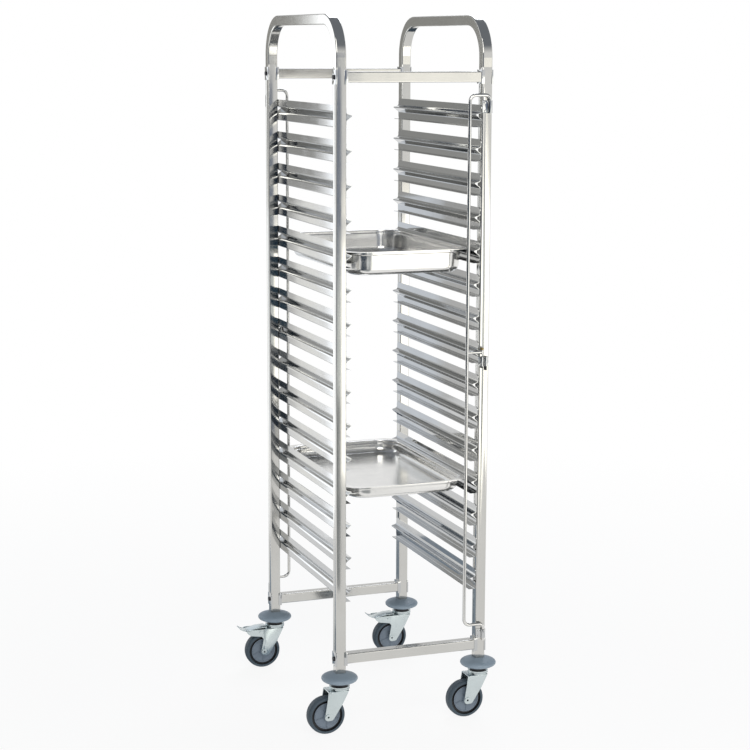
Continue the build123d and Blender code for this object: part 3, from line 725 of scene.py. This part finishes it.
class TROLLEY_OT_bumpers(bpy.types.Operator):
    """Mould the four bumper discs"""

    bl_idname = "trolley.bumpers"
    bl_label = "Bumper discs"

    def execute(self, context):
        materials = finishes()
        low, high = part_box("bumper_discs")
        posts = [middle(f"post_{corner}") for corner in CORNERS]
        foot = Vector((posts[0].x, posts[0].y, low.z))
        # Radius and height in millimetres: flat underneath, a swelling side and a shallow cone on top
        profile = [(6.2, 0), (24.5, 0), (27.0, 0.6), (34.0, 3.2), (39.5, 5.3), (42.0, 6.9), (43.7, 9.0)]
        profile += [(44.4, 11.0), (44.5, 12.2), (44.2, 13.6), (43.0, 15.6), (40.8, 17.5), (38.0, 19.0)]
        profile += [(33.0, 20.9), (27.0, 22.8), (21.5, 24.5), (18.5, 25.4), (17.2, 25.9), (16.6, 26.0)]
        profile += [(6.2, 26.0)]
        first = turned("bumper_disc_front_left", foot, Z, scaled(profile), 128)
        only(first)
        soft_bends = radians(50.0)
        bpy.ops.object.shade_smooth_by_angle(angle=soft_bends)
        discs = [first]
        for corner, post in zip(CORNERS[1:], posts[1:]):
            offset = Vector((post.x - foot.x, post.y - foot.y, 0))
            discs.append(copied(first, f"bumper_disc_{corner}", offset))
        finish(first, "frame", "bumper_plastic", materials["bumper"], "bumper_discs")
        for disc in discs[1:]:
            finish(disc, "frame", "bumper_plastic", materials["bumper"])
        return {"FINISHED"}


class TROLLEY_OT_forks(bpy.types.Operator):
    """Fold the casters' forks and the brake pedals with rounded bends"""

    bl_idname = "trolley.forks"
    bl_label = "Forks and pedals"

    def execute(self, context):
        materials = finishes()
        sizes = context.scene.trolley_sizes
        pedal_round = 0.7 * MM
        for corner in CORNERS:
            node = f"caster_fork_{corner}"
            piece = unfolded(node, f"{node}_folded")
            self.round_folds(piece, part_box(node), sizes.fork_bend)
            round_edges(piece, sizes.edge_round)
            finish(piece, f"caster_{corner}", "caster_zinc", materials["zinc"], node)
        for corner in CORNERS[2:]:
            node = f"brake_pedal_{corner}"
            piece = unfolded(node, f"{node}_pressed")
            round_edges(piece, pedal_round)
            finish(piece, f"pedal_{corner}", "caster_zinc", materials["zinc"], node)
        return {"FINISHED"}

    def round_folds(self, piece, box, radius):
        """Rounds the two edges where the crown folds down into the legs."""
        low, high = box
        near = 1e-5

        def at_fold(place, way):
            side = min(abs(place.y - low.y), abs(place.y - high.y))
            return abs(place.z - high.z) < near and side < near and abs(way.x) > 0.9 * way.length

        bpy.ops.object.mode_set(mode="EDIT")
        select_where(piece, "edges", at_fold)
        bpy.ops.mesh.bevel(offset=radius, segments=6, affect="EDGES")
        bpy.ops.object.mode_set(mode="OBJECT")


class TROLLEY_OT_wheels(bpy.types.Operator):
    """Mould the tyres and the ribbed hubs"""

    bl_idname = "trolley.wheels"
    bl_label = "Wheels"

    def execute(self, context):
        materials = finishes()
        sizes = context.scene.trolley_sizes
        first = middle("wheel_tyre_front_left")
        tyre = self.make_tyre(sizes, first)
        hub = self.make_hub(sizes, first)
        ring = self.make_shade_ring(first)
        for corner in CORNERS:
            offset = middle(f"wheel_tyre_{corner}") - first
            own = corner == "front_left"
            parts = [
                (tyre, f"tyre_{corner}", "tyre", "wheel_tyre_rubber", [f"wheel_tyre_{corner}"]),
                (hub, f"hub_{corner}", "hub", "wheel_hub_plastic", [f"wheel_hub_{corner}"]),
                # The groove ring is painted shade, made black with the seal's material
                (ring, f"groove_ring_{corner}", "seal", "wheel_tyre_rubber", []),
            ]
            for model, name, finish_name, slot, nodes in parts:
                piece = model if own else copied(model, name, offset)
                finish(piece, f"wheel_{corner}", slot, materials[finish_name], *nodes)
        return {"FINISHED"}

    # The three profiles are radius and distance from the wheel's middle, in millimetres

    def make_tyre(self, sizes, centre):
        groove = 46.0 - sizes.tread_groove / MM
        side = [(32.6, 7.0), (38.5, 7.0), (38.5, 13.2), (39.2, 14.0), (42.8, 14.0), (43.3, 13.5)]
        side += [(44.3, 13.1), (45.3, 11.6)]
        tread = [(46.0, 9.6), (groove, 9.2), (groove, 8.6), (46.25, 8.2), (46.5, 4.0)]
        piece = turned("tyre_front_left", centre, Y, self.both_sides(side + tread), 128)
        round_edges(piece, 0.25 * MM, 2)
        return piece

    def both_sides(self, half):
        """Adds the mirror image of a half profile, and turns it to metres."""
        return scaled(half + [(r, -w) for r, w in reversed(half)])

    def make_hub(self, sizes, centre):
        boss = [(4.1, 19.0), (8.6, 19.0), (9.5, 18.2), (9.5, 10.6)]
        dish = [(29.0, 10.2), (30.6, 11.9), (32.4, 12.0)]
        piece = turned("hub_front_left", centre, Y, self.both_sides(boss + dish))
        round_edges(piece, 0.3 * MM, 2)
        rib_count, first_rib = 5, 18.0
        angles = [360 / rib_count * index + first_rib for index in range(rib_count)]
        ribs = [self.make_rib(sizes, centre, face, angle) for face in (-1, 1) for angle in angles]
        return self.joined(piece, ribs)

    def make_rib(self, sizes, centre, face, angle):
        """A rib from the hub's boss to its rim, on one face and at an angle in degrees."""
        rib_length, rib_height = 20.6 * MM, 1.6 * MM
        from_axle, from_middle = 19.4 * MM, 10.9 * MM
        turn = Matrix.Rotation(radians(angle), 4, "Y")
        bpy.ops.object.select_all(action="DESELECT")
        bpy.ops.mesh.primitive_cube_add(size=1, location=(0, 0, 0))
        rib = bpy.context.object
        rib.scale = (rib_length, rib_height, sizes.hub_rib)
        rib.location = (from_axle, face * from_middle, 0)
        settle(rib, "rib")
        round_edges(rib, 0.35 * MM, 2)
        rib.data.transform(Matrix.Translation(centre) @ turn)
        return rib

    def make_shade_ring(self, centre):
        """A black lining in the groove between hub and tyre, on both faces: painted shade, darkening the
        recess more than its own shadow does.
        """
        profile = [(32.42, 11.2), (32.55, 11.2), (32.6, 7.3), (38.2, 7.3), (38.3, 13.1), (38.48, 13.1)]
        profile += [(38.48, 7.02), (32.42, 7.02)]
        piece = turned("groove_ring_front_left", centre, Y, scaled(profile))
        twin = turned("ring_behind", centre, Y, [(r, -w) for r, w in scaled(profile)])
        return self.joined(piece, [twin])

    def joined(self, piece, others):
        """Joins the others to the piece and shades it smooth."""
        only(piece)
        for other in others:
            other.select_set(True)
        bpy.ops.object.join()
        bpy.ops.object.shade_smooth_by_angle(angle=SHARP)
        return piece


class TROLLEY_PT_sidebar(bpy.types.Panel):
    """The trolley's steps, sizes and colours"""

    bl_label = "Tray trolley"
    bl_idname = "TROLLEY_PT_sidebar"
    bl_space_type = "VIEW_3D"
    bl_region_type = "UI"
    bl_category = "Trolley"

    def draw(self, context):
        for step in STEPS:
            self.layout.operator(step.bl_idname)
        for group in (context.scene.trolley_sizes, context.scene.trolley_colours):
            for key in group.bl_rna.properties.keys():
                if key not in ("rna_type", "name"):
                    self.layout.prop(group, key)


STEPS = (
    TROLLEY_OT_stage,
    TROLLEY_OT_finishes,
    TROLLEY_OT_soft_edges,
    TROLLEY_OT_pans,
    TROLLEY_OT_knobs,
    TROLLEY_OT_bumpers,
    TROLLEY_OT_forks,
    TROLLEY_OT_wheels,
)
CLASSES = (TrolleySizes, TrolleyColours, *STEPS, TROLLEY_PT_sidebar)


def register():
    for kind in CLASSES:
        bpy.utils.register_class(kind)
    bpy.types.Scene.trolley_sizes = bpy.props.PointerProperty(type=TrolleySizes)
    bpy.types.Scene.trolley_colours = bpy.props.PointerProperty(type=TrolleyColours)


def unregister():
    del bpy.types.Scene.trolley_colours
    del bpy.types.Scene.trolley_sizes
    for kind in reversed(CLASSES):
        bpy.utils.unregister_class(kind)


def main():
    register()
    for step in STEPS:
        group, name = step.bl_idname.split(".")
        getattr(getattr(bpy.ops, group), name)()


if __name__ == "__main__":
    main()
